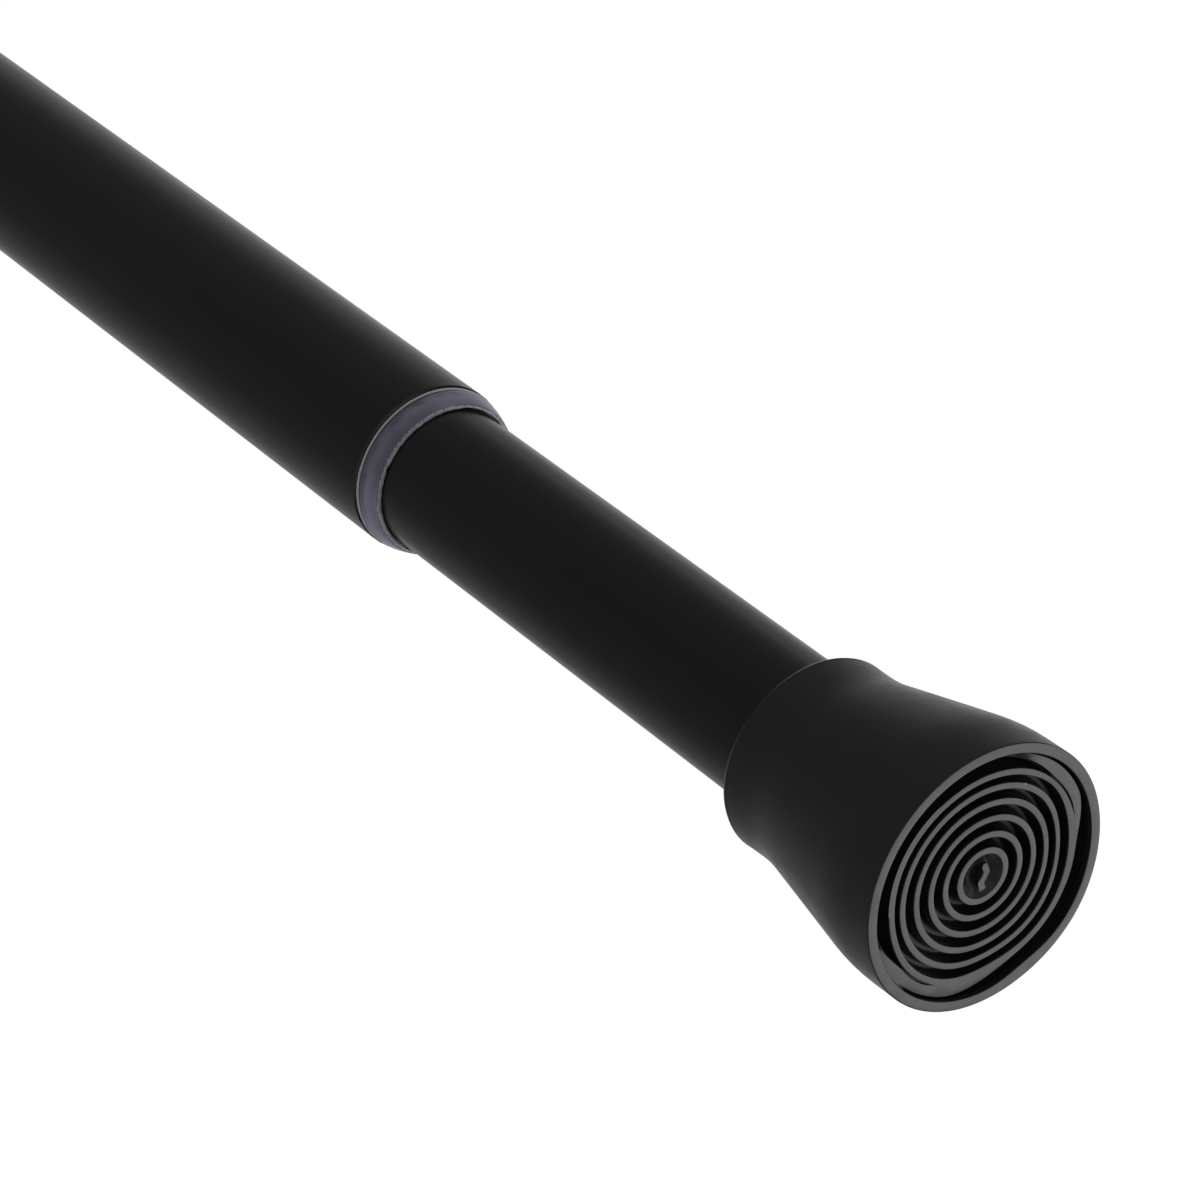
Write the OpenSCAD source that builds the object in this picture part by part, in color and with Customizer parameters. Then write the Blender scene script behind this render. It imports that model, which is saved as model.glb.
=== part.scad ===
// Telescopic doorway pull up bar. Two steel tubes slide in one another. A fixed screw
// in the thick tube and a nut in the tail of the thin tube jack the rubber feet apart
// when the thin tube is twisted. Millimetres. The bar lies along +X, and the origin is
// the centre of the face of the thick tube's foot.

/* [Bar] */
// Length from foot face to foot face, as set
bar_length = 796; // [700:1:960]
// From the mouth of the thick tube to the face of the thin tube's foot
reach = 157; // [130:1:190]
// Length of thin tube that lies inside the thick one, as set
insertion = 459; // [380:1:540]
// How far the bar can still be screwed out
stroke_out = 260; // [200:1:300]

/* [Tubes] */
// Outside diameter of the thick tube
outer_tube_d = 32; // [27:0.1:38]
// Wall of the thick tube
outer_tube_wall = 1.5; // [1.2:0.1:2]
// Radial gap between the bore of the thick tube and the thin tube
tube_gap = 0.9; // [0.7:0.05:1.2]
// Wall of the thin tube
inner_tube_wall = 1.5; // [1.2:0.1:2]
// Chamfer on the tube ends
edge_break = 0.4; // [0.2:0.1:0.6]

/* [Guide collar] */
// How far the collar stands out of the thick tube
collar_lip = 5.3; // [3:0.1:6]
// How far the collar's back edge lies inside the thick tube's outside
collar_step = 0.2; // [0.1:0.05:0.4]
// How much the collar narrows towards its lip
collar_taper = 0.9; // [0.4:0.05:1]
// Length of the sleeve inside the thick tube
collar_sleeve = 30; // [15:1:50]
// Radial play between the collar and the thin tube
collar_play = 0.25; // [0.1:0.05:0.35]

/* [Feet] */
// Length of a foot
foot_length = 44.5; // [42:0.1:56]
// Rubber and liner around the tube at the neck
neck_wall = 4.05; // [3.4:0.05:5]
// Length of the straight neck
neck_length = 8.5; // [6:0.1:12]
// How far the face stands out beyond the neck
foot_flare = 5.5; // [3:0.1:8]
// Length of the straight rim behind the face
rim_length = 9.5; // [7:0.1:12]
// Rounding of the neck's back edge
neck_round = 2.6; // [1:0.1:2.8]
// Rounding of the face's outer edge
face_round = 0.5; // [0.2:0.1:1]
// Rubber between the face and the steel disc
foot_floor = 9; // [8:0.1:12]
// Rubber lip that holds the liner in
liner_lip = 4.5; // [3:0.1:6]
// Wall of the liner
liner_wall = 1.1; // [0.8:0.1:1.6]
// Radial play of a turning piece in the foot
turn_play = 0.3; // [0.2:0.05:0.5]

/* [Tread] */
// Wall of the tread's rim
rim_wall = 1.6; // [1:0.1:2.5]
// Depth of the grooves
tread_depth = 2.6; // [1:0.1:3]
// Distance from one rib to the next
rib_pitch = 2.8; // [2.2:0.1:4]
// Width of a rib
rib_width = 1.1; // [0.8:0.1:1.6]
// Radius of the smallest rib
first_rib = 4.4; // [4:0.1:6]
// Radius of the disc in the middle
centre_disc_r = 2.6; // [1.5:0.1:3]

/* [Screw] */
// Outside diameter of the screw
spindle_d = 14; // [11.5:0.1:17]
// Radial running clearance between the screw and the nut
screw_play = 0.05; // [0.03:0.01:0.1]
// Length of the nut
nut_length = 30; // [20:1:40]
// Diameter of the screw's end in the thick tube's plug
anchor_d = 10; // [8:0.5:12]
// Diameter of the screw's end that holds the guide
guide_stub_d = 8; // [6:0.5:9]
// Width across the flats of the anchor nut
anchor_nut_af = 17; // [16:0.5:19]
// Height of the anchor nut
anchor_nut_h = 8; // [6:0.5:10]
// Width across the flats of the guide nut
guide_nut_af = 13; // [12:0.5:14]
// Height of the guide nut
guide_nut_h = 6.5; // [5:0.5:8]
// Thickness of the stop washer and the anchor washer
washer_t = 2; // [1.5:0.1:3]
// Thickness of the plastic guide on the screw
guide_t = 8; // [5:0.5:12]
// Radial play of a plastic guide in its tube
guide_play = 0.1; // [0.05:0.01:0.2]

/* [Plugs and fasteners] */
// Length of a plug inside its tube
plug_length = 28; // [24:1:34]
// Thickness of a plug's flange
flange_t = 2; // [1.5:0.1:3]
// Thickness of the steel disc in a foot
disc_t = 2; // [1.5:0.1:3]
// How far the steel disc reaches past the foot's bore
disc_grip = 2.5; // [1.5:0.1:3.5]
// Thickness of the thrust washer
thrust_t = 1.5; // [1:0.1:2.5]
// Diameter of the pins through the plugs
plug_pin_d = 5; // [4:0.5:6]
// Wall of the pins through the plugs
plug_pin_wall = 1; // [0.8:0.1:1.2]
// Diameter of the pins through the nut
nut_pin_d = 4; // [3:0.5:5]
// Number of pins through the nut
nut_pin_count = 3; // [2:1:4]
// How deep a nut pin goes below the thin tube's surface
nut_pin_depth = 4; // [3:0.1:4.4]
// Diameter of the swivel bolt
swivel_d = 8; // [6:0.5:10]
// Diameter of the swivel bolt's head
swivel_head_d = 14; // [12:0.5:16]
// Height of the swivel bolt's head
swivel_head_h = 3; // [2:0.1:3.5]
// Length of the swivel bolt in its plug
swivel_grip = 18; // [14:1:20]
// End play of the swivel
end_play = 0.15; // [0.1:0.05:0.3]
// Length of the bush on the thin tube's tail
tail_bush_length = 30; // [20:1:40]
// Thickness of the bush's lip over the tube's end
tail_lip_t = 1.2; // [0.8:0.1:2]

/* [Hidden] */
$fn = 96;
cut = 1;                 // how far a cutting shape runs past the surface it cuts
fastener_slack = 0.5;    // room around a nut or a bolt's head
end_gap = 0.5;           // what is left before two stops meet

// Tubes
outer_r = outer_tube_d / 2;
outer_bore_r = outer_r - outer_tube_wall;
inner_r = outer_bore_r - tube_gap;
inner_bore_r = inner_r - inner_tube_wall;
mouth_x = bar_length - reach;
tail_x = mouth_x - insertion;

// Stack in the thick tube's foot, from its face inwards
outer_flange_x = foot_floor + disc_t;
outer_tube_x = outer_flange_x + flange_t;
outer_plug_x = outer_tube_x + plug_length;

// Anchor of the screw in the outer plug
anchor_pocket_r = anchor_nut_af / 2 / cos(30) + fastener_slack;
anchor_washer_r = anchor_pocket_r - fastener_slack / 2;
anchor_nut_x = outer_flange_x + washer_t;
anchor_washer_x = anchor_nut_x + anchor_nut_h;
anchor_floor_x = anchor_washer_x + washer_t;
anchor_end_x = anchor_nut_x - washer_t / 2;
outer_pin_x = (anchor_floor_x + outer_plug_x) / 2;

// Screw
spindle_r = spindle_d / 2;
anchor_r = anchor_d / 2;
guide_stub_r = guide_stub_d / 2;
nut_front_x = tail_x + nut_length;
spindle_end_x = nut_front_x + stroke_out + end_gap;
guide_x = spindle_end_x + washer_t;
guide_nut_x = guide_x + guide_t;
guide_nut_end_x = guide_nut_x + guide_nut_h;
stub_end_x = guide_nut_end_x + washer_t;
nut_flange_x = tail_x - flange_t;
nut_pin_x = tail_x + nut_length * 0.6;

// Stack in the thin tube's foot, measured from its face
thrust_z = foot_floor + disc_t;
flange_z = thrust_z + thrust_t + end_play;
tube_end_z = flange_z + flange_t;
plug_end_z = tube_end_z + plug_length;
head_z = foot_floor - end_play - swivel_head_h;
head_pocket_z = head_z - fastener_slack;
bolt_end_z = flange_z + swivel_grip;
inner_pin_z = (bolt_end_z + end_gap + plug_end_z) / 2;
liner_bore_r = inner_r + turn_play;
liner_r = liner_bore_r + liner_wall;
liner_end_z = foot_length - liner_lip;
swivel_r = swivel_d / 2;

// Solid of revolution about the bar's axis, from points [x, r]
module turned(points)
    rotate([0, 90, 0])
        rotate_extrude()
            polygon([for (p = points) [p[1], p[0]]]);

module rod(r, x0, x1)
    translate([x0, 0, 0])
        rotate([0, 90, 0])
            cylinder(r = r, h = x1 - x0);

module pipe(r, bore_r, x0, x1)
    difference() {
        rod(r, x0, x1);
        rod(bore_r, x0 - cut, x1 + cut);
    }

module cross_rod(r, half, x)
    translate([x, 0, -half])
        cylinder(r = r, h = 2 * half);

module hex_nut(flats, bore_r, x0, x1)
    difference() {
        translate([x0, 0, 0])
            rotate([0, 90, 0])
                cylinder(r = flats / 2 / cos(30), h = x1 - x0, $fn = 6);
        rod(bore_r, x0 - cut, x1 + cut);
    }

// A hollow spring pin across a plug, seen from the end as a ring
module spring_pin(half, x)
    difference() {
        cross_rod(plug_pin_d / 2, half, x);
        cross_rod(plug_pin_d / 2 - plug_pin_wall, half + cut, x);
    }

// Places what is measured from the face of the thin tube's foot
module at_inner_foot()
    translate([bar_length, 0, 0])
        mirror([1, 0, 0])
            children();

// Tube with both outer edges broken
module edge_broken_tube(r, bore_r, x0, x1)
    turned([
        [x0, bore_r], [x0, r - edge_break], [x0 + edge_break, r],
        [x1 - edge_break, r], [x1, r - edge_break], [x1, bore_r]
    ]);

// Points of a quarter round about [x, r], from angle a0 to a1
function round_points(x, r, radius, a0, a1, steps = 6) = [
    for (i = [0 : steps])
        let (a = a0 + (a1 - a0) * i / steps)
        [x + radius * cos(a), r + radius * sin(a)]
];

// Rubber foot for a tube of radius tube_r, with its face at x = 0
module foot_body(tube_r) {
    neck_r = tube_r + neck_wall;
    face_r = neck_r + foot_flare;
    turned(concat(
        [[0, 0]],
        round_points(face_round, face_r - face_round, face_round, 180, 90),
        [[rim_length, face_r], [foot_length - neck_length, neck_r]],
        round_points(foot_length - neck_round, neck_r - neck_round, neck_round, 90, 0),
        [[foot_length, 0]]
    ));
}

// Grooves between the concentric ribs of the face
module tread_grooves(tube_r) {
    tread_r = tube_r + neck_wall + foot_flare - rim_wall;
    ribs = floor((tread_r - rib_width - first_rib) / rib_pitch);
    difference() {
        pipe(tread_r, centre_disc_r, -cut, tread_depth);
        for (i = [0 : ribs]) {
            rib_r = first_rib + i * rib_pitch;
            pipe(rib_r + rib_width / 2, rib_r - rib_width / 2, -2 * cut, tread_depth + cut);
        }
    }
}

// ---- pieces that stand still with the thick tube ----

module outer_tube()
    color([0.09, 0.09, 0.10])
        difference() {
            edge_broken_tube(outer_r, outer_bore_r, outer_tube_x, mouth_x);
            cross_rod(plug_pin_d / 2, outer_r + cut, outer_pin_x);
        }

module guide_collar() {
    bore_r = inner_r + collar_play;
    back_r = outer_r - collar_step;
    lip_r = back_r - collar_taper;
    lip_x = mouth_x + collar_lip;
    color([0.42, 0.42, 0.47])
        turned([
            [mouth_x - collar_sleeve, bore_r], [mouth_x - collar_sleeve, outer_bore_r],
            [mouth_x, outer_bore_r], [mouth_x, back_r],
            [lip_x - edge_break, lip_r], [lip_x, lip_r - edge_break],
            [lip_x, bore_r + collar_play], [lip_x - collar_play, bore_r]
        ]);
}

module outer_foot()
    color([0.10, 0.10, 0.11])
        difference() {
            foot_body(outer_r);
            tread_grooves(outer_r);
            rod(outer_r + disc_grip, foot_floor, outer_flange_x);
            rod(outer_r, foot_floor, foot_length + cut);
        }

module outer_foot_disc()
    color([0.62, 0.63, 0.65])
        rod(outer_r + disc_grip, foot_floor, outer_flange_x);

module outer_end_plug()
    color([0.55, 0.56, 0.58])
        difference() {
            union() {
                rod(outer_r - edge_break, outer_flange_x, outer_tube_x);
                rod(outer_bore_r, outer_tube_x, outer_plug_x);
            }
            rod(anchor_pocket_r, outer_flange_x - cut, anchor_floor_x);
            rod(anchor_r, anchor_floor_x - cut, outer_plug_x + cut);
            cross_rod(plug_pin_d / 2, outer_r + cut, outer_pin_x);
        }

module outer_plug_pin()
    color([0.35, 0.35, 0.37])
        spring_pin(outer_r - edge_break, outer_pin_x);

module spindle()
    color([0.70, 0.68, 0.60])
        difference() {
            turned([
                [anchor_end_x, 0], [anchor_end_x, anchor_r], [outer_plug_x, anchor_r],
                [outer_plug_x, spindle_r], [spindle_end_x, spindle_r],
                [spindle_end_x, guide_stub_r], [stub_end_x, guide_stub_r], [stub_end_x, 0]
            ]);
            cross_rod(plug_pin_d / 2, outer_r, outer_pin_x);
        }

module anchor_nut()
    color([0.72, 0.72, 0.70])
        hex_nut(anchor_nut_af, anchor_r, anchor_nut_x, anchor_washer_x);

module anchor_washer()
    color([0.72, 0.72, 0.70])
        pipe(anchor_washer_r, anchor_r, anchor_washer_x, anchor_floor_x);

module stop_washer()
    color([0.72, 0.72, 0.70])
        pipe(inner_bore_r - 4 * edge_break, guide_stub_r, spindle_end_x, guide_x);

module spindle_guide()
    color([0.90, 0.90, 0.86])
        pipe(inner_bore_r - guide_play, guide_stub_r, guide_x, guide_nut_x);

module guide_nut()
    color([0.72, 0.72, 0.70])
        hex_nut(guide_nut_af, guide_stub_r, guide_nut_x, guide_nut_end_x);

// ---- pieces of the foot that slides without turning ----

module inner_foot()
    color([0.10, 0.10, 0.11])
        at_inner_foot()
            difference() {
                foot_body(inner_r);
                tread_grooves(inner_r);
                rod(swivel_head_d / 2 + fastener_slack, head_pocket_z, foot_floor + cut);
                rod(liner_r + disc_grip, foot_floor, thrust_z);
                rod(liner_r, foot_floor, liner_end_z);
                rod(liner_bore_r, liner_end_z - cut, foot_length + cut);
            }

module foot_disc()
    color([0.62, 0.63, 0.65])
        at_inner_foot()
            pipe(liner_r + disc_grip, swivel_r + turn_play, foot_floor, thrust_z);

module foot_liner()
    color([0.90, 0.90, 0.86])
        at_inner_foot()
            pipe(liner_r, liner_bore_r, thrust_z, liner_end_z);

module thrust_washer()
    color([0.90, 0.90, 0.86])
        at_inner_foot()
            pipe(inner_r, swivel_r + turn_play, thrust_z, thrust_z + thrust_t);

// ---- pieces that turn with the thin tube ----

// Radial holes or pins through the thin tube and into the nut
module nut_pin_set(r, inside_r, outside_r)
    for (i = [0 : nut_pin_count - 1])
        translate([nut_pin_x, 0, 0])
            rotate([360 * i / nut_pin_count, 0, 0])
                translate([0, 0, inside_r])
                    cylinder(r = r, h = outside_r - inside_r);

module inner_tube()
    color([0.09, 0.09, 0.10])
        difference() {
            edge_broken_tube(inner_r, inner_bore_r, tail_x, bar_length - tube_end_z);
            nut_pin_set(nut_pin_d / 2, inner_r - nut_pin_depth, inner_r + cut);
            cross_rod(plug_pin_d / 2, inner_r + cut, bar_length - inner_pin_z);
        }

module drive_nut()
    color([0.72, 0.58, 0.30])
        difference() {
            union() {
                rod(inner_r - edge_break, nut_flange_x, tail_x);
                rod(inner_bore_r, tail_x, nut_front_x);
            }
            rod(spindle_r + screw_play, nut_flange_x - cut, nut_front_x + cut);
            nut_pin_set(nut_pin_d / 2, inner_r - nut_pin_depth, inner_r + cut);
        }

module nut_pins()
    color([0.35, 0.35, 0.37])
        nut_pin_set(nut_pin_d / 2, inner_r - nut_pin_depth, inner_r - edge_break / 2);

module tail_bush()
    color([0.90, 0.90, 0.86])
        difference() {
            rod(outer_bore_r - guide_play, nut_flange_x - tail_lip_t,
                nut_flange_x + tail_bush_length);
            rod(inner_r, nut_flange_x, nut_flange_x + tail_bush_length + cut);
            rod((spindle_r + inner_r) / 2, nut_flange_x - tail_lip_t - cut,
                nut_flange_x + cut);
        }

module inner_end_plug()
    color([0.55, 0.56, 0.58])
        at_inner_foot()
            difference() {
                union() {
                    rod(inner_r - edge_break, flange_z, tube_end_z);
                    rod(inner_bore_r, tube_end_z, plug_end_z);
                }
                rod(swivel_r, flange_z - cut, bolt_end_z + end_gap);
                cross_rod(plug_pin_d / 2, inner_r, inner_pin_z);
            }

module inner_plug_pin()
    color([0.35, 0.35, 0.37])
        at_inner_foot()
            spring_pin(inner_r - edge_break, inner_pin_z);

module swivel_bolt()
    color([0.72, 0.72, 0.70])
        at_inner_foot()
            turned([
                [head_z, 0], [head_z, swivel_head_d / 2],
                [head_z + swivel_head_h, swivel_head_d / 2],
                [head_z + swivel_head_h, swivel_r], [bolt_end_z, swivel_r], [bolt_end_z, 0]
            ]);

outer_tube();
guide_collar();
outer_foot();
outer_foot_disc();
outer_end_plug();
outer_plug_pin();
spindle();
anchor_nut();
anchor_washer();
stop_washer();
spindle_guide();
guide_nut();
inner_foot();
foot_disc();
foot_liner();
thrust_washer();
inner_tube();
drive_nut();
nut_pins();
tail_bush();
inner_end_plug();
inner_plug_pin();
swivel_bolt();
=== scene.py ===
"""Looks of a telescopic doorway pull up bar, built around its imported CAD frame.

Lengths in the shape functions are millimetres, as on a drawing, and MM turns them into
Blender's metres. The bar lies along +X. Angles about the bar are measured from +Y
towards +Z, so 90 degrees is the top of the bar.
"""

import math

import bmesh
import bpy
import numpy as np
from mathutils import Matrix, Vector


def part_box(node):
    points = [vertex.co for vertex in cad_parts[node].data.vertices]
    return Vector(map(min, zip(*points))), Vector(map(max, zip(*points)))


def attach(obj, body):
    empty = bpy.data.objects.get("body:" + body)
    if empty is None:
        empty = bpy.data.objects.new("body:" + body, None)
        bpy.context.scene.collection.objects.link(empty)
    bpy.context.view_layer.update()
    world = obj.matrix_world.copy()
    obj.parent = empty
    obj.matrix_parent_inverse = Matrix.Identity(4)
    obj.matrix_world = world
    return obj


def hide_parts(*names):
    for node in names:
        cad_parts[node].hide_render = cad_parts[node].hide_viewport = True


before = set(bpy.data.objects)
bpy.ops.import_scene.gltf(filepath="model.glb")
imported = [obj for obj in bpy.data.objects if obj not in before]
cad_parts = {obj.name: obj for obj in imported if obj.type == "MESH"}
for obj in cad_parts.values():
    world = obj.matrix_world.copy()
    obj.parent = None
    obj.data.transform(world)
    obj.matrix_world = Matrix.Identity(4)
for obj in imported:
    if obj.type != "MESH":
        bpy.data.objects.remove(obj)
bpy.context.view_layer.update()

MM = 0.001
STEPS = 288                      # vertices around a turned piece
ANGLES = np.linspace(0, 2 * np.pi, STEPS, endpoint=False)
BEND_STEPS = 5                   # points on a rounded corner
BEND_SHARE = 0.45                # most of a stretch that the rounding at one end may take
LONGEST_STRETCH = 0.8            # between two points of an outline


# ---------------------------------------------------------------- sizes from the frame

def radius_of(node):
    """Largest radius of a node that lies on the bar's axis, in millimetres."""
    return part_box(node)[1].y / MM


def span_of(node):
    """Lowest and highest x of a node, in millimetres."""
    low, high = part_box(node)
    return low.x / MM, high.x / MM


# ---------------------------------------------------------------- mesh tools

def bump(centre, width):
    """1 at an angle about the bar and fading to 0 over about twice the width, in degrees."""
    away = (ANGLES - math.radians(centre) + np.pi) % (2 * np.pi) - np.pi
    return np.exp(-(away / math.radians(width)) ** 2)


def around(value):
    """A value for every angle, from one number or from an array that has them already."""
    return np.broadcast_to(np.asarray(value, float), (STEPS,))


def corner(s, r, rounding=0.0):
    """One corner of a turned outline: place along the bar, radius, and rounding there."""
    return around(s), around(r), rounding


def rounded(corners, closed=False):
    """Outline through corners, each rounded by a curve. Gives an array [angle, point, (s, r)]."""
    places = np.stack([np.stack([s, r], -1) for s, r, _ in corners], 1)
    count = places.shape[1]
    runs = []
    for i in range(count):
        here = places[:, i]
        rounding = corners[i][2]
        is_end = not closed and i in (0, count - 1)
        if is_end or rounding == 0:
            runs.append(here[:, None])
            continue
        before = places[:, i - 1] - here
        after = places[:, (i + 1) % count] - here
        length_before = np.linalg.norm(before, axis=1, keepdims=True)
        length_after = np.linalg.norm(after, axis=1, keepdims=True)
        reach = np.minimum(rounding, BEND_SHARE * np.minimum(length_before, length_after))
        start = here + before / length_before * reach
        end = here + after / length_after * reach
        t = np.linspace(0, 1, BEND_STEPS)[None, :, None]
        runs.append((1 - t) ** 2 * start[:, None] + 2 * t * (1 - t) * here[:, None]
                    + t ** 2 * end[:, None])
    return np.concatenate(runs, 1)


def subdivided(outline, closed=False):
    """Adds points so that no stretch of the outline is longer than LONGEST_STRETCH.

    A stretch counts with its mean length over all angles.
    """
    count = outline.shape[1]
    parts = []
    for i in range(count if closed else count - 1):
        a = outline[:, i]
        b = outline[:, (i + 1) % count]
        length = np.linalg.norm(b - a, axis=1).mean()
        pieces = max(1, math.ceil(length / LONGEST_STRETCH))
        t = (np.arange(pieces) / pieces)[None, :, None]
        parts.append(a[:, None] * (1 - t) + b[:, None] * t)
    if not closed:
        parts.append(outline[:, -1:])
    return np.concatenate(parts, 1)


def turned_mesh(name, outline, x0, direction, closed=False):
    """Solid of revolution about the bar from an outline [angle, point, (s, r)].

    s runs from x0 along direction. An open outline starts and ends on the axis.
    """
    s, r = outline[..., 0], outline[..., 1]
    x = x0 + direction * s
    y = r * np.cos(ANGLES)[:, None]
    z = r * np.sin(ANGLES)[:, None]
    grid = np.stack([x, y, z], -1) * MM
    mesh = bmesh.new()
    rings = outline.shape[1]
    first, last = (0, rings) if closed else (1, rings - 1)
    verts = [[mesh.verts.new(grid[a, k]) for k in range(first, last)] for a in range(STEPS)]
    width = last - first
    for a in range(STEPS):
        here, after = verts[a], verts[(a + 1) % STEPS]
        for k in range(width if closed else width - 1):
            n = (k + 1) % width
            mesh.faces.new((here[k], after[k], after[n], here[n]))
    if not closed:
        for ring, end in ((0, 0), (width - 1, rings - 1)):
            pole = mesh.verts.new(grid[:, end].mean(0))
            for a in range(STEPS):
                mesh.faces.new((pole, verts[a][ring], verts[(a + 1) % STEPS][ring]))
    bmesh.ops.recalc_face_normals(mesh, faces=mesh.faces)
    return mesh_object(name, mesh)


def mesh_object(name, mesh):
    """Makes an object in the scene from a bmesh, with smooth shading."""
    data = bpy.data.meshes.new(name)
    mesh.to_mesh(data)
    mesh.free()
    data.polygons.foreach_set("use_smooth", [True] * len(data.polygons))
    piece = bpy.data.objects.new(name, data)
    bpy.context.scene.collection.objects.link(piece)
    return piece


# ---------------------------------------------------------------- material tools

def new_material(name, **values):
    """A Principled material with the given socket values, and its node tree."""
    material = bpy.data.materials.new(name)
    material.use_nodes = True
    shader = material.node_tree.nodes["Principled BSDF"]
    for socket, value in values.items():
        shader.inputs[socket.replace("_", " ")].default_value = value
    return material, material.node_tree, shader


def add(tree, kind, inputs=(), **settings):
    """A node with its settings, its inputs given as {name or index: value or socket}."""
    node = tree.nodes.new(kind)
    for key, value in settings.items():
        setattr(node, key, value)
    for key, value in dict(inputs).items():
        if isinstance(value, bpy.types.NodeSocket):
            tree.links.new(value, node.inputs[key])
        else:
            node.inputs[key].default_value = value
    return node


def place_mm(tree, stretch=(1, 1, 1)):
    """Place on the piece in millimetres, divided by a stretch along each axis."""
    spot = add(tree, "ShaderNodeTexCoord").outputs["Object"]
    scale = [1 / MM / along for along in stretch]
    return add(tree, "ShaderNodeVectorMath", {0: spot, 1: scale}, operation="MULTIPLY").outputs[0]


def along_bar(tree):
    """Place along the bar, in millimetres."""
    return add(tree, "ShaderNodeSeparateXYZ", {0: place_mm(tree)}).outputs["X"]


def distance_from_axis(tree):
    """Distance from the bar's axis, in millimetres."""
    flat = add(tree, "ShaderNodeVectorMath", {0: place_mm(tree), 1: (0, 1, 1)}, operation="MULTIPLY")
    return add(tree, "ShaderNodeVectorMath", {0: flat.outputs[0]}, operation="LENGTH").outputs["Value"]


def math_node(tree, operation, a, b):
    """Result of a maths operation on a and b, each of which is a value or a socket."""
    return add(tree, "ShaderNodeMath", {0: a, 1: b}, operation=operation).outputs[0]


def noise(tree, size, detail=2.0, stretch=(1, 1, 1)):
    """Soft noise about 0.5, whose spots are about size millimetres across."""
    return add(tree, "ShaderNodeTexNoise", {
        "Vector": place_mm(tree, stretch), "Scale": 1 / size, "Detail": detail,
    }).outputs["Fac"]


def ramp(tree, value, low, high, to_low=0.0, to_high=1.0):
    """Maps value smoothly from low..high to to_low..to_high."""
    return add(tree, "ShaderNodeMapRange", {
        "Value": value, "From Min": low, "From Max": high, "To Min": to_low, "To Max": to_high,
    }, interpolation_type="SMOOTHSTEP").outputs["Result"]


def varied(tree, field, low, high):
    """Maps a noise field from 0.3..0.7, which it mostly keeps to, to low..high."""
    return ramp(tree, field, 0.3, 0.7, low, high)


def mix(tree, factor, a, b):
    """Colour a where factor is 0 and colour b where it is 1."""
    node = add(tree, "ShaderNodeMix", {"Factor": factor}, data_type="RGBA")
    for socket, value in ((node.inputs[6], a), (node.inputs[7], b)):
        if isinstance(value, bpy.types.NodeSocket):
            tree.links.new(value, socket)
        else:
            socket.default_value = value
    return node.outputs[2]


def grey(value, blue=0.0):
    """A grey colour with some blue added."""
    return (value, value, value + blue, 1)


def dust(tree, spacing, size):
    """1 on a few small specks, about spacing millimetres apart, and 0 elsewhere."""
    core = 0.6                   # share of a speck's radius that is fully bright
    rarity = 0.6                 # a cell whose tone is lower holds no speck
    cells = add(tree, "ShaderNodeTexVoronoi", {"Vector": place_mm(tree), "Scale": 1 / spacing})
    near = ramp(tree, cells.outputs["Distance"], size / spacing * core, size / spacing, 1, 0)
    chosen = math_node(tree, "GREATER_THAN", cells.outputs["Color"], rarity)
    return math_node(tree, "MULTIPLY", near, chosen)


def use_bump(tree, shader, height, distance):
    """Adds a bump of the given height field, whose full step is distance millimetres."""
    node = add(tree, "ShaderNodeBump", {"Height": height, "Distance": distance * MM, "Strength": 1.0})
    tree.links.new(node.outputs["Normal"], shader.inputs["Normal"])


# ---------------------------------------------------------------- materials

DULL_DEPTH = (1.4, 2.0)          # below the rim, where the tread's grooves turn dull
DULL_END = (6, 8)                # below the rim, where the dull rubber ends
DULL_RADIUS = (22.2, 22.6)       # where the dull rubber ends at the rim
DULL_ROUGHNESS = 0.5


def black_paint(name, grain, height):
    """Satin black coat on a steel tube: fine orange peel, faint drawn lines, a few specks."""
    material, tree, shader = new_material(name, IOR=1.5)
    tone = mix(tree, noise(tree, 24), grey(0.003), grey(0.005))
    colour = mix(tree, dust(tree, spacing=13, size=0.16), tone, grey(0.09))
    tree.links.new(colour, shader.inputs["Base Color"])
    streaks = noise(tree, 1.2, 3, stretch=(40, 1, 1))
    tree.links.new(varied(tree, streaks, 0.18, 0.24), shader.inputs["Roughness"])
    peel = noise(tree, grain, 3)
    use_bump(tree, shader, peel, height)
    return material


def black_rubber(name, face, facing):
    """Moulded rubber: fine skin, cloudy bloom, dust specks, and duller down in the tread."""
    material, tree, shader = new_material(name, IOR=1.5)
    bloom = mix(tree, noise(tree, 9, 3), grey(0.008), grey(0.014))
    colour = mix(tree, dust(tree, spacing=9, size=0.25), bloom, grey(0.28))
    tree.links.new(colour, shader.inputs["Base Color"])
    depth = math_node(tree, "MULTIPLY", math_node(tree, "SUBTRACT", face, along_bar(tree)), facing)
    under_ribs = ramp(tree, depth, *DULL_DEPTH)
    above_back = ramp(tree, depth, *DULL_END, 1, 0)
    inside_rim = ramp(tree, distance_from_axis(tree), *DULL_RADIUS, 1, 0)
    below = math_node(tree, "MULTIPLY", under_ribs, above_back)
    in_tread = math_node(tree, "MULTIPLY", below, inside_rim)
    dull = math_node(tree, "MULTIPLY", in_tread, DULL_ROUGHNESS)
    polish = varied(tree, noise(tree, 3.5, 4), 0.22, 0.30)
    tree.links.new(math_node(tree, "MAXIMUM", polish, dull), shader.inputs["Roughness"])
    skin = noise(tree, 0.14, 1)
    use_bump(tree, shader, skin, 0.006)
    return material


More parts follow.
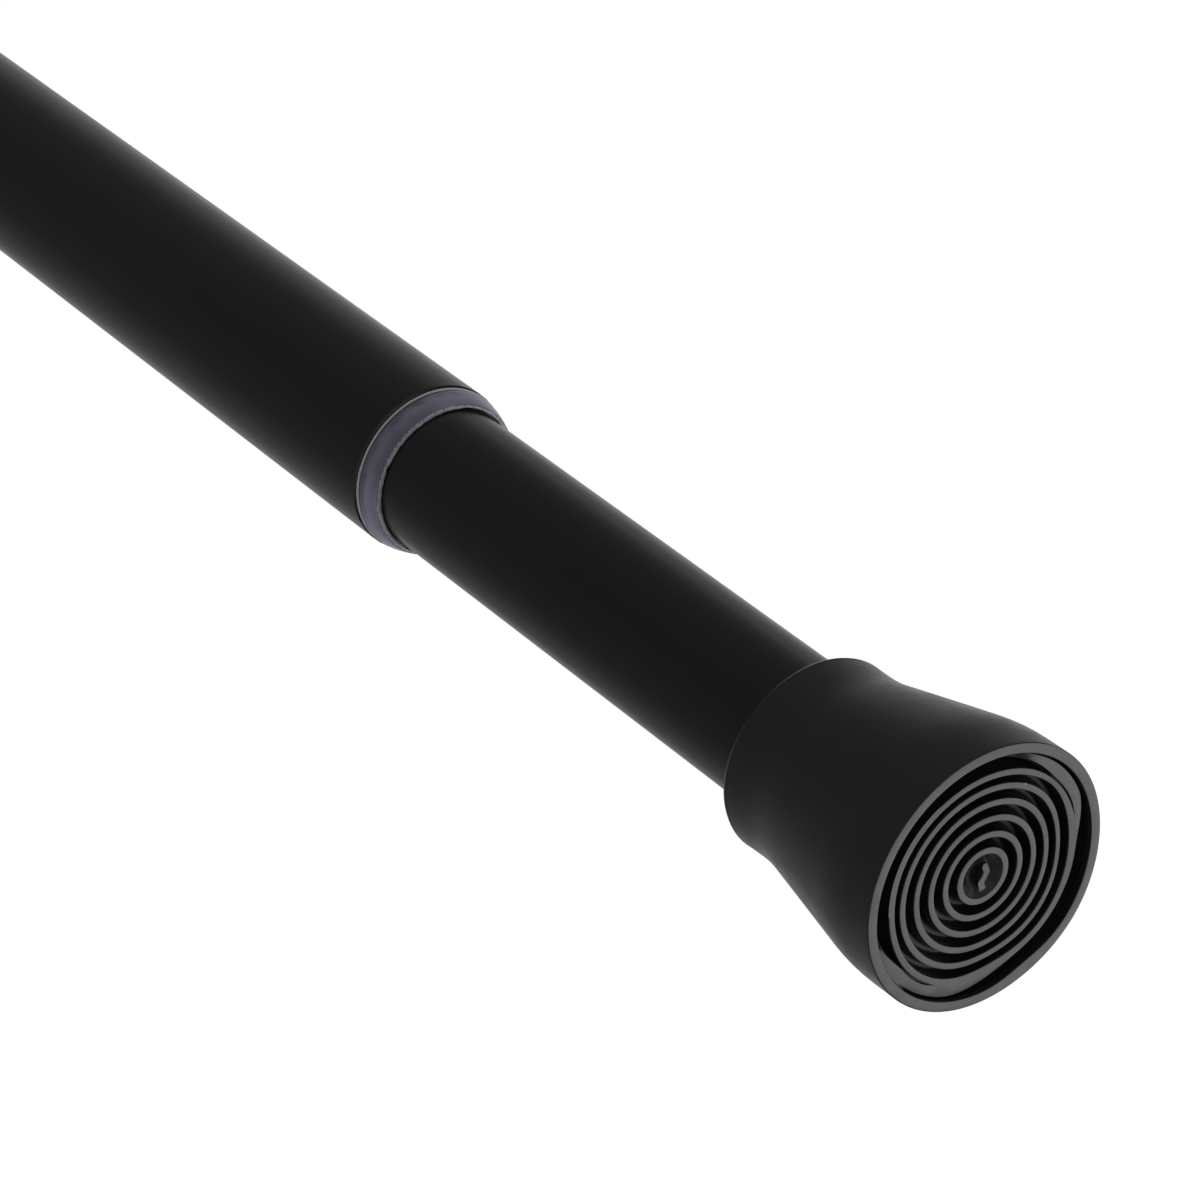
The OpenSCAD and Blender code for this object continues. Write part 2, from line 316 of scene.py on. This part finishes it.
def collar_plastic(name):
    """Translucent grey-violet plastic, with painted shade beside its bead and, more faintly, towards
    the lip, a painted highlight on the bead, and a pale end.
    """
    material, tree, shader = new_material(
        name, IOR=1.5, Transmission_Weight=0.15,
        Sheen_Weight=0.8, Sheen_Roughness=0.4, Sheen_Tint=(0.84, 0.83, 1.0, 1))
    tone = mix(tree, noise(tree, 5, 2), (0.108, 0.112, 0.155, 1), (0.150, 0.154, 0.205, 1))
    along = along_bar(tree)
    mouth = span_of("outer_tube")[1]
    lip = span_of("guide_collar")[1]
    # Painted shade: the tone darkens beside the bead and, less, towards the lip, and is full in the
    # band between.
    wavy = math_node(tree, "ADD", along, varied(tree, noise(tree, 3.0, 2), -0.3, 0.3))
    shade_beside_bead = 0.18           # how much of the tone is left there, as painted shade
    shade_at_lip = 0.72
    rising = ramp(tree, wavy, mouth + 1.0, mouth + 2.8, shade_beside_bead, 1.0)
    falling = ramp(tree, wavy, mouth + 3.0, lip - 0.7, 1.0, shade_at_lip)
    body = mix(tree, math_node(tree, "MULTIPLY", rising, falling), (0.0, 0.0, 0.0, 1), tone)
    # Painted highlight: a pale ring on the bead, where its edge catches the light.
    bead = ramp(tree, along, mouth + 0.62, mouth + 0.70, 1.0, 0.0)
    grain = ramp(tree, noise(tree, 0.35, 3), 0.35, 0.65, -0.12, 0.12)
    ragged = math_node(tree, "ADD", distance_from_axis(tree), grain)
    at_end = ramp(tree, along, lip - 0.35, lip - 0.25)
    pale_r = radius_of("inner_tube") + 0.85
    end_face = math_node(tree, "MULTIPLY", at_end, ramp(tree, ragged, pale_r, pale_r + 0.1, 1, 0))
    # Pale mask: the bead's painted highlight and the pale ragged end face.
    bead_highlight_and_pale_end = math_node(tree, "MAXIMUM", bead, end_face)
    pale = mix(tree, bead, grey(0.38, 0.02), grey(0.45, 0.03))
    colour = mix(tree, bead_highlight_and_pale_end, body, pale)
    tree.links.new(colour, shader.inputs["Base Color"])
    tree.links.new(ramp(tree, bead_highlight_and_pale_end, 0, 1, 0.26, 0.5), shader.inputs["Roughness"])
    use_bump(tree, shader, grain, 0.03)
    return material


def metal(name, colour, roughness, grain=0.5, height=0.004, stretch=(1, 1, 1)):
    """Bare or plated metal with a grain in its finish and small changes of tone."""
    spread = 0.08                # how far the roughness goes up and down
    shade = 0.82                 # how bright the darker tone is
    material, tree, shader = new_material(name, Metallic=1.0)
    darker = [c * shade for c in colour] + [1]
    tone = mix(tree, noise(tree, 5, 4), darker, [*colour, 1])
    tree.links.new(tone, shader.inputs["Base Color"])
    fine = noise(tree, grain, 3, stretch)
    patchy = varied(tree, fine, roughness - spread, roughness + spread)
    tree.links.new(patchy, shader.inputs["Roughness"])
    use_bump(tree, shader, fine, height)
    return material


def nylon(name):
    """Natural nylon: waxy, slightly mottled."""
    material, tree, shader = new_material(name, IOR=1.53, Subsurface_Weight=0.15)
    tone = mix(tree, noise(tree, 4, 3), (0.70, 0.68, 0.61, 1), (0.80, 0.79, 0.73, 1))
    tree.links.new(tone, shader.inputs["Base Color"])
    tree.links.new(varied(tree, noise(tree, 1.5, 3), 0.36, 0.5), shader.inputs["Roughness"])
    use_bump(tree, shader, noise(tree, 0.5, 3), 0.006)
    return material


# ---------------------------------------------------------------- feet

FACE_ROUND = 0.2                 # rounding of the face's outer edge
LAND_ROUND = 0.16                # rounding of a rib's edges
GROOVE_ROUND = 0.7               # rounding at the foot of a groove's walls
WALL_DRAFT = 0.16                # how much wider a groove is at its top, on each side
GROOVE_FLOOR = 3.7               # depth of the grooves below the rim
TREAD_RECESS = 0.65              # how far the ribs lie behind the rim
FIRST_RIB = 4.55                 # middle radius of the smallest rib
RIB_PITCH = 2.87                 # from the middle of one rib to the next
RIB_WIDTH = 1.2
RING_SHIFT = 0.3                 # how far the ribs lie above the middle of the face
BOWL_STEPS = 40                  # rings of the hollow in the middle
BOWL_DEPTH = 2.6
BOWL_TIP = 1.08                  # depth of its cone's sharp tip, as a share of BOWL_DEPTH
BOWL_BLUNT = 0.12                # what rounding the tip takes off that share
BOWL_SAG = 0.08                  # by which share its edge is shallower than a straight cone
GATE_MARK = ((0.9, 1.4), (1.3, 0.25), (0.8, -0.7), (0.2, -1.4), (0.5, -2.5))   # its line in y, z
GATE_LEVEL = 1.3                 # depth of the moulding mark's torn top below the rim
GATE_HALF_WIDTH = 0.62
GATE_WALL = 0.2                  # how far its sides slope out
LEAN = 0.65                      # how far the worn foot's neck sits off centre
LEAN_ANGLE = 224                 # towards which it sits off centre, in degrees
LEAN_FADE = 1.5                  # width of the band round the foot's mouth where the lean fades
FLARE_START = 9.3                # distance from the face at which the foot starts to taper
NECK_START = 36.3                # distance from the face at which its neck starts
FLASH = 0.07                     # height of the moulding line round the neck
MOUTH_LAND = 0.8                 # width of the flat between the cavity's mouth and the skin's end


def arc(rise_from, rise_to, fall_from, fall_to):
    """1 over an arc about the bar and 0 elsewhere, rising and falling smoothly.

    Degrees run from -180 to 180.
    """
    degrees = (np.degrees(ANGLES) + 180) % 360 - 180
    rise = np.clip((degrees - rise_from) / (rise_to - rise_from), 0, 1)
    fall = np.clip((fall_to - degrees) / (fall_to - fall_from), 0, 1)
    return rise ** 2 * (3 - 2 * rise) * fall ** 2 * (3 - 2 * fall)


def folded_rubber(wear):
    """Depth and distance from the last rib of the rubber that has folded over beside it.

    It stands free of the rib high on one side and low on the other, where it runs into the
    rim, and sinks away at the far end of each fold. Elsewhere it is a shelf or nothing.
    wear is 1 for the worn foot and 0 for a true one.
    """
    high, low = (92, 106), (-178, -175)
    gap = 0.03 + wear * (0.2 * arc(12, 30, *high) + 1.7 * arc(40, 84, *high)
                         + 0.25 * arc(*low, -128, -116) + 2.0 * arc(*low, -172, -143))
    shelf = 0.06 + wear * (2.4 * arc(-8, 32, *high) + 2.2 * arc(*low, -112, -55))
    crease = (0.2 * arc(12, 28, 108, 120) + 0.8 * arc(42, 62, 108, 120)
              + 0.2 * arc(-180, -178, -128, -116) + 0.8 * arc(-180, -178, -156, -140))
    sunk = arc(60, 90, 108, 120) + arc(-180, -178, -175, -164)
    whole = GROOVE_FLOOR - TREAD_RECESS
    crease_s = TREAD_RECESS + crease * whole
    top_s = TREAD_RECESS + sunk * whole
    slope = 0.04 * shelf * (1 - sunk)
    return [(crease_s, gap * 0.3), (crease_s, gap * 0.9), (top_s, gap + 0.02),
            (top_s + slope, np.maximum(shelf, gap + 0.04))]


def worn_ribs(count, wear):
    """Middle radius, width, groove floor and folded rubber of each rib, from the centre out.

    wear is 1 for a foot whose rubber has been squeezed out of round, and 0 for a true one.
    """
    ribs = []
    for i in range(count):
        out = i / (count - 1)
        last = out ** 12
        raised = RING_SHIFT * np.sin(ANGLES) * (1 - out ** 6)
        bulged = 0.20 * out ** 2 * bump(115, 45) * (1 - out ** 8)
        towards_y = (last - 1.55 * out ** 2.6) * bump(3, 32)
        underneath = (0.75 * last - 1.35 * out ** 5) * bump(278, 21)
        away_from_y = 0.65 * last * bump(190, 35)
        drawn_in = 0.35 * out ** 4
        shift = raised + bulged + towards_y + underneath - away_from_y - drawn_in
        middle = FIRST_RIB + RIB_PITCH * i + wear * shift
        squeezed = (0.8 * last - 0.55 * out ** 3) * bump(2, 30)
        thinned = 0.3 * last * bump(42, 14)
        width = RIB_WIDTH + wear * (squeezed - thinned)
        floor = around(GROOVE_FLOOR)
        fold = []
        if i == count - 1:
            fold = folded_rubber(wear)
            floor = floor - wear * (2.2 * bump(56, 11) + 2.95 * arc(-175, -164, -140, -112))
        ribs.append((middle, width, floor, fold))
    return ribs


def distance_to_path(y, z, path):
    """Distance of each point from a broken line."""
    spots = np.stack([y, z], -1)
    nearest = np.full(spots.shape[:-1], np.inf)
    for start, end in zip(path, path[1:]):
        run = np.subtract(end, start)
        along = np.clip((spots - start) @ run / (run @ run), 0, 1)
        nearest = np.minimum(nearest, np.linalg.norm(spots - start - along[:, None] * run, axis=1))
    return nearest


def bowl_corners(edge_r):
    """The hollow inside the smallest rib, with the torn moulding mark that stands in it."""
    corners = []
    for t in np.linspace(0, 1, BOWL_STEPS, endpoint=False):
        r = edge_r * t
        blunt = math.hypot(t, BOWL_BLUNT)
        cone = TREAD_RECESS + BOWL_DEPTH * (BOWL_TIP - blunt) * (1 - BOWL_SAG * t)
        away = distance_to_path(r * np.cos(ANGLES), r * np.sin(ANGLES), GATE_MARK)
        torn = np.clip((GATE_HALF_WIDTH + GATE_WALL - away) / GATE_WALL, 0, 1)
        s = cone + np.minimum(0, GATE_LEVEL - cone) * torn
        corners.append(corner(s if t else s.mean(), r))
    return corners


def face_corners(rim_inner_r, ribs):
    """Corners of the tread from its smallest rib to the inside of its rim."""
    corners = []
    for i, (middle, width, floor, fold) in enumerate(ribs):
        inner, outer = middle - width / 2, middle + width / 2
        corners.append(corner(TREAD_RECESS, inner, LAND_ROUND))
        corners.append(corner(TREAD_RECESS, outer, LAND_ROUND))
        next_inner = ribs[i + 1][0] - ribs[i + 1][1] / 2 if i + 1 < len(ribs) else rim_inner_r
        wall = outer
        for depth, away in fold:
            widest = next_inner - outer - 2.5 * WALL_DRAFT
            wall = outer + np.minimum(away, widest)
            corners.append(corner(depth, wall, LAND_ROUND))
        corners.append(corner(floor, wall + WALL_DRAFT, GROOVE_ROUND))
        corners.append(corner(floor, next_inner - WALL_DRAFT, GROOVE_ROUND))
    return corners


def foot_outline(rim_r, rim_wall, neck_r, length, ribs, cavity, lean=0.0):
    """Whole outline of a foot from the middle of its face round to the end of its cavity.

    lean is how far its neck sits off centre.
    """
    face = face_corners(rim_r - rim_wall, ribs)
    rim = [corner(0, rim_r - rim_wall, LAND_ROUND), corner(0, rim_r, FACE_ROUND)]
    straight_r = rim_r.mean() * 0.5 + rim_r * 0.5
    back = corner(length, cavity[0][1] + MOUTH_LAND)
    side = [corner(FLARE_START, straight_r - 0.05, 4.0), corner(NECK_START, neck_r - 0.05, 6.0),
            corner(length - 0.95, neck_r + 0.03), corner(length - 0.8, neck_r + FLASH),
            corner(length - 0.65, neck_r), corner(length, neck_r - 0.3, 0.9), back]
    skin = rounded(bowl_corners(ribs[0][0] - ribs[0][1] / 2) + face + rim + side)
    skin = subdivided(skin)
    outside = np.clip((skin[..., 1] - back[1][:, None]) / LEAN_FADE, 0, 1)
    shift = lean * (skin[..., 0] / length) ** 1.5 * outside
    skin[..., 1] += shift * np.cos(ANGLES - math.radians(LEAN_ANGLE))[:, None]
    inside = subdivided(rounded([back] + cavity))
    return np.concatenate([skin, inside[:, 1:]], 1)


def inner_foot_piece():
    """Rubber foot of the thin tube, with its ribbed face towards +X."""
    back, face = span_of("inner_foot")
    length = face - back
    bolt_play = 0.5              # between the swivel bolt's head and its pocket in the rubber
    pocket_r = radius_of("swivel_bolt") + bolt_play
    pocket_s = face - span_of("swivel_bolt")[1] - bolt_play
    disc_r = radius_of("foot_disc")
    disc_back, disc_front = span_of("foot_disc")
    liner_r = radius_of("foot_liner")
    liner_back = span_of("foot_liner")[0]
    tube_play = 0.3
    mouth_r = radius_of("inner_tube") + tube_play
    cavity = [corner(length, mouth_r, 0.3), corner(face - liner_back, mouth_r),
              corner(face - liner_back, liner_r), corner(face - disc_back, liner_r),
              corner(face - disc_back, disc_r), corner(face - disc_front, disc_r),
              corner(face - disc_front, pocket_r), corner(pocket_s, pocket_r),
              corner(pocket_s, 0)]
    neck_r = 17.72
    rim_r = 23.45 + 0.2 * np.sin(ANGLES) - 0.3 * np.cos(2 * ANGLES) + 0.5 * bump(322, 28)
    rim_wall = 1.85 + 0.6 * bump(294, 14)
    ribs = worn_ribs(count=6, wear=1.0)
    outline = foot_outline(rim_r, rim_wall, neck_r, length, ribs, cavity, LEAN)
    piece = turned_mesh("inner_foot_rubber", outline, face, -1)
    piece.data.materials.append(black_rubber("inner_foot_rubber", face, 1))
    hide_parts("inner_foot")
    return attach(piece, "sliding_foot")


def outer_foot_piece():
    """Rubber foot of the thick tube, with its ribbed face towards -X."""
    face, back = span_of("outer_foot")
    length = back - face
    disc_r = radius_of("outer_foot_disc")
    disc_front, disc_back = span_of("outer_foot_disc")
    tube_play = 0.02
    mouth_r = radius_of("outer_tube") + tube_play
    cavity = [corner(length, mouth_r, 0.3), corner(disc_back, mouth_r),
              corner(disc_back, disc_r), corner(disc_front, disc_r), corner(disc_front, 0)]
    neck_r = 20.05
    rim_r = radius_of("outer_foot") - 0.15 - 0.12 * np.cos(2 * ANGLES)
    rim_wall = around(1.75)
    ribs = worn_ribs(count=7, wear=0.25)
    outline = foot_outline(rim_r, rim_wall, neck_r, length, ribs, cavity)
    piece = turned_mesh("outer_foot_rubber", outline, face, 1)
    piece.data.materials.append(black_rubber("outer_foot_rubber", face, -1))
    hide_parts("outer_foot")
    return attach(piece, "thick_tube")


# ---------------------------------------------------------------- collar

def collar_piece(material):
    """Guide collar in the mouth of the thick tube, tapering to a rough, ragged lip."""
    sleeve_end, lip = span_of("guide_collar")
    mouth = span_of("outer_tube")[1]
    back_r = radius_of("guide_collar")
    tube_play = 0.25             # between the thin tube and the collar's bore
    tube_wall = 1.5              # of the thick tube, which the collar's sleeve fits into
    bore_r = radius_of("inner_tube") + tube_play
    sleeve_r = radius_of("outer_tube") - tube_wall
    sleeve_s = sleeve_end - mouth
    bead_r = back_r + 0.04
    lip_r = back_r - 1.1
    oval = 0.45 * (bump(55, 28) + bump(238, 28))
    hole_r = bore_r + oval - 0.2
    rough = 0.05 * np.sin(17 * ANGLES) * np.sin(5 * ANGLES + 1) + 0.04 * np.sin(41 * ANGLES)
    notch = 0.18 * bump(153, 2.5)
    length = lip - mouth
    end_s = length - 0.04
    sleeve = [corner(sleeve_s, bore_r, 0.3), corner(sleeve_s, sleeve_r, 0.3),
              corner(0.0, sleeve_r), corner(0.38, sleeve_r + 0.02)]
    bead = [corner(0.40, back_r - 0.04, 0.08), corner(0.44, bead_r, 0.05),
            corner(0.60, bead_r, 0.05)]
    taper = [corner(0.62, back_r - 0.22, 0.08), corner(1.2, back_r - 0.26, 0.3),
             corner(1.8, back_r - 0.17, 0.6), corner(3.2, back_r - 0.52, 0.9),
             corner(length - 0.3, lip_r, 0.3)]
    hole = [corner(end_s + rough, lip_r - 0.4, 0.2), corner(end_s - rough, hole_r + 0.12 + notch, 0.1),
            corner(length - 0.3, hole_r + notch, 0.1), corner(length - 2.6, bore_r, 0.8)]
    outline = subdivided(rounded(sleeve + bead + taper + hole, closed=True), closed=True)
    piece = turned_mesh("guide_collar_plastic", outline, mouth, 1, closed=True)
    piece.data.materials.append(material)
    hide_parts("guide_collar")
    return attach(piece, "thick_tube")


# ---------------------------------------------------------------- studio

FOOT_FACE = Vector((span_of("inner_foot")[1] * MM, 0, 0))
AMBIENT = 0.15                   # even light that the bar's sides mirror
LOBES = (                        # direction, spread in degrees and strength of what adds to it
    ((-0.698, 0.245, -0.673), 58, 0.10),
    ((-0.698, 0.705, -0.124), 42, 0.15),
    ((-0.698, 0.490, -0.520), 34, 0.14),
    ((-1.0, 0.0, 0.0), 40, -0.06),
    ((0.70, -0.10, 0.70), 50, 0.30),
    ((0.55, -0.80, -0.20), 40, 0.25),
)


def add_camera():
    """Long lens from above and in front of the thin tube's foot, with no shift."""
    data = bpy.data.cameras.new("camera")
    data.lens = 143.86
    data.sensor_width = 36
    data.clip_start = 0.01
    data.clip_end = 50
    camera = bpy.data.objects.new("camera", data)
    bpy.context.scene.collection.objects.link(camera)
    right = Vector((0.57475, 0.81833, 0.0))
    up = Vector((-0.42655, 0.29959, 0.85340))
    back = right.cross(up)
    turn = Matrix((right, up, back)).transposed().to_4x4()
    eye = FOOT_FACE + Vector((0.46754, -0.40162, 0.42567))
    camera.matrix_world = Matrix.Translation(eye) @ turn
    bpy.context.scene.camera = camera


def softbox(name, direction, distance, size, power, glossy=True):
    """Square area light that faces the thin tube's foot. Unless glossy, no surface mirrors it."""
    data = bpy.data.lights.new(name, "AREA")
    data.shape = "SQUARE"
    data.size = size
    data.energy = power
    lamp = bpy.data.objects.new(name, data)
    bpy.context.scene.collection.objects.link(lamp)
    towards = Vector(direction).normalized()
    lamp.location = FOOT_FACE + towards * distance
    lamp.rotation_euler = towards.to_track_quat("Z", "Y").to_euler()
    lamp.visible_camera = False
    lamp.visible_glossy = glossy


def lobe(tree, direction, spread, strength):
    """Light of the given strength from about one direction, fading over spread degrees."""
    view = add(tree, "ShaderNodeTexCoord").outputs["Generated"]
    aim = Vector(direction).normalized()
    product = add(tree, "ShaderNodeVectorMath", {0: view, 1: aim}, operation="DOT_PRODUCT")
    edge = math.cos(math.radians(spread))
    return ramp(tree, product.outputs["Value"], edge, 1.0, 0.0, strength)


def add_world():
    """White to the camera, and a dim even studio to everything else."""
    world = bpy.data.worlds.new("studio")
    bpy.context.scene.world = world
    world.use_nodes = True
    tree = world.node_tree
    shader = tree.nodes["Background"]
    level = AMBIENT
    for direction, spread, strength in LOBES:
        level = math_node(tree, "ADD", level, lobe(tree, direction, spread, strength))
    ray = add(tree, "ShaderNodeLightPath").outputs["Is Camera Ray"]
    seen = add(tree, "ShaderNodeMix", {0: ray, 2: level, 3: 1.0})
    tree.links.new(seen.outputs[0], shader.inputs["Color"])


def add_floor():
    """White floor well below the bar, which neither lights it nor shows in it."""
    half_size = 6.0
    middle_x = 0.4
    drop = 0.45
    mesh = bmesh.new()
    bmesh.ops.create_grid(mesh, x_segments=4, y_segments=4, size=half_size)
    floor = mesh_object("floor", mesh)
    floor.location = (middle_x, 0, -drop)
    material = bpy.data.materials.new("floor_white")
    material.use_nodes = True
    tree = material.node_tree
    tree.nodes.remove(tree.nodes["Principled BSDF"])
    ray = add(tree, "ShaderNodeLightPath").outputs["Is Camera Ray"]
    level = add(tree, "ShaderNodeMix", {0: ray, 2: AMBIENT, 3: 1.0}).outputs[0]
    glow = add(tree, "ShaderNodeEmission", {"Color": level})
    tree.links.new(glow.outputs[0], tree.nodes["Material Output"].inputs["Surface"])
    floor.data.materials.append(material)
    floor.visible_glossy = False
    floor.visible_diffuse = False
    floor.visible_shadow = False


# ---------------------------------------------------------------- assembly

def finish_node(node, material):
    """Gives a CAD node its material."""
    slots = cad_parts[node].data.materials
    slots.clear()
    slots.append(material)


add_camera()
add_world()
add_floor()
softbox("key", (0.70, 0.60, -0.36), distance=0.9, size=0.8, power=3.9)
softbox("low_side", (-0.10, -0.80, -0.55), distance=1.2, size=0.7, power=9.5, glossy=False)
softbox("high_side", (-0.10, 0.55, 0.80), distance=1.2, size=0.7, power=8.5, glossy=False)

thick_paint = black_paint("thick_tube_paint", 0.35, 0.006)
thin_paint = black_paint("thin_tube_paint", 0.25, 0.004)
zinc = metal("zinc_plate", (0.60, 0.61, 0.62), 0.30)
cast = metal("cast_zinc", (0.50, 0.50, 0.52), 0.52, grain=0.3, height=0.02)
spring = metal("spring_steel", (0.16, 0.16, 0.17), 0.38)
screw = metal("screw_steel", (0.45, 0.44, 0.41), 0.30, stretch=(1, 6, 6))
brass = metal("turned_brass", (0.62, 0.46, 0.20), 0.30, stretch=(1, 8, 8))
white_nylon = nylon("natural_nylon")

FINISHES = {
    "outer_tube": thick_paint, "inner_tube": thin_paint,
    "outer_foot_disc": zinc, "foot_disc": zinc, "anchor_nut": zinc, "anchor_washer": zinc,
    "stop_washer": zinc, "guide_nut": zinc, "swivel_bolt": zinc,
    "outer_end_plug": cast, "inner_end_plug": cast,
    "outer_plug_pin": spring, "inner_plug_pin": spring, "nut_pins": spring,
    "spindle": screw, "drive_nut": brass,
    "spindle_guide": white_nylon, "foot_liner": white_nylon, "thrust_washer": white_nylon,
    "tail_bush": white_nylon,
}
for node, material in FINISHES.items():
    finish_node(node, material)

inner_foot_piece()
outer_foot_piece()
collar_piece(collar_plastic("collar_plastic"))

bpy.context.scene.view_settings.view_transform = "Standard"
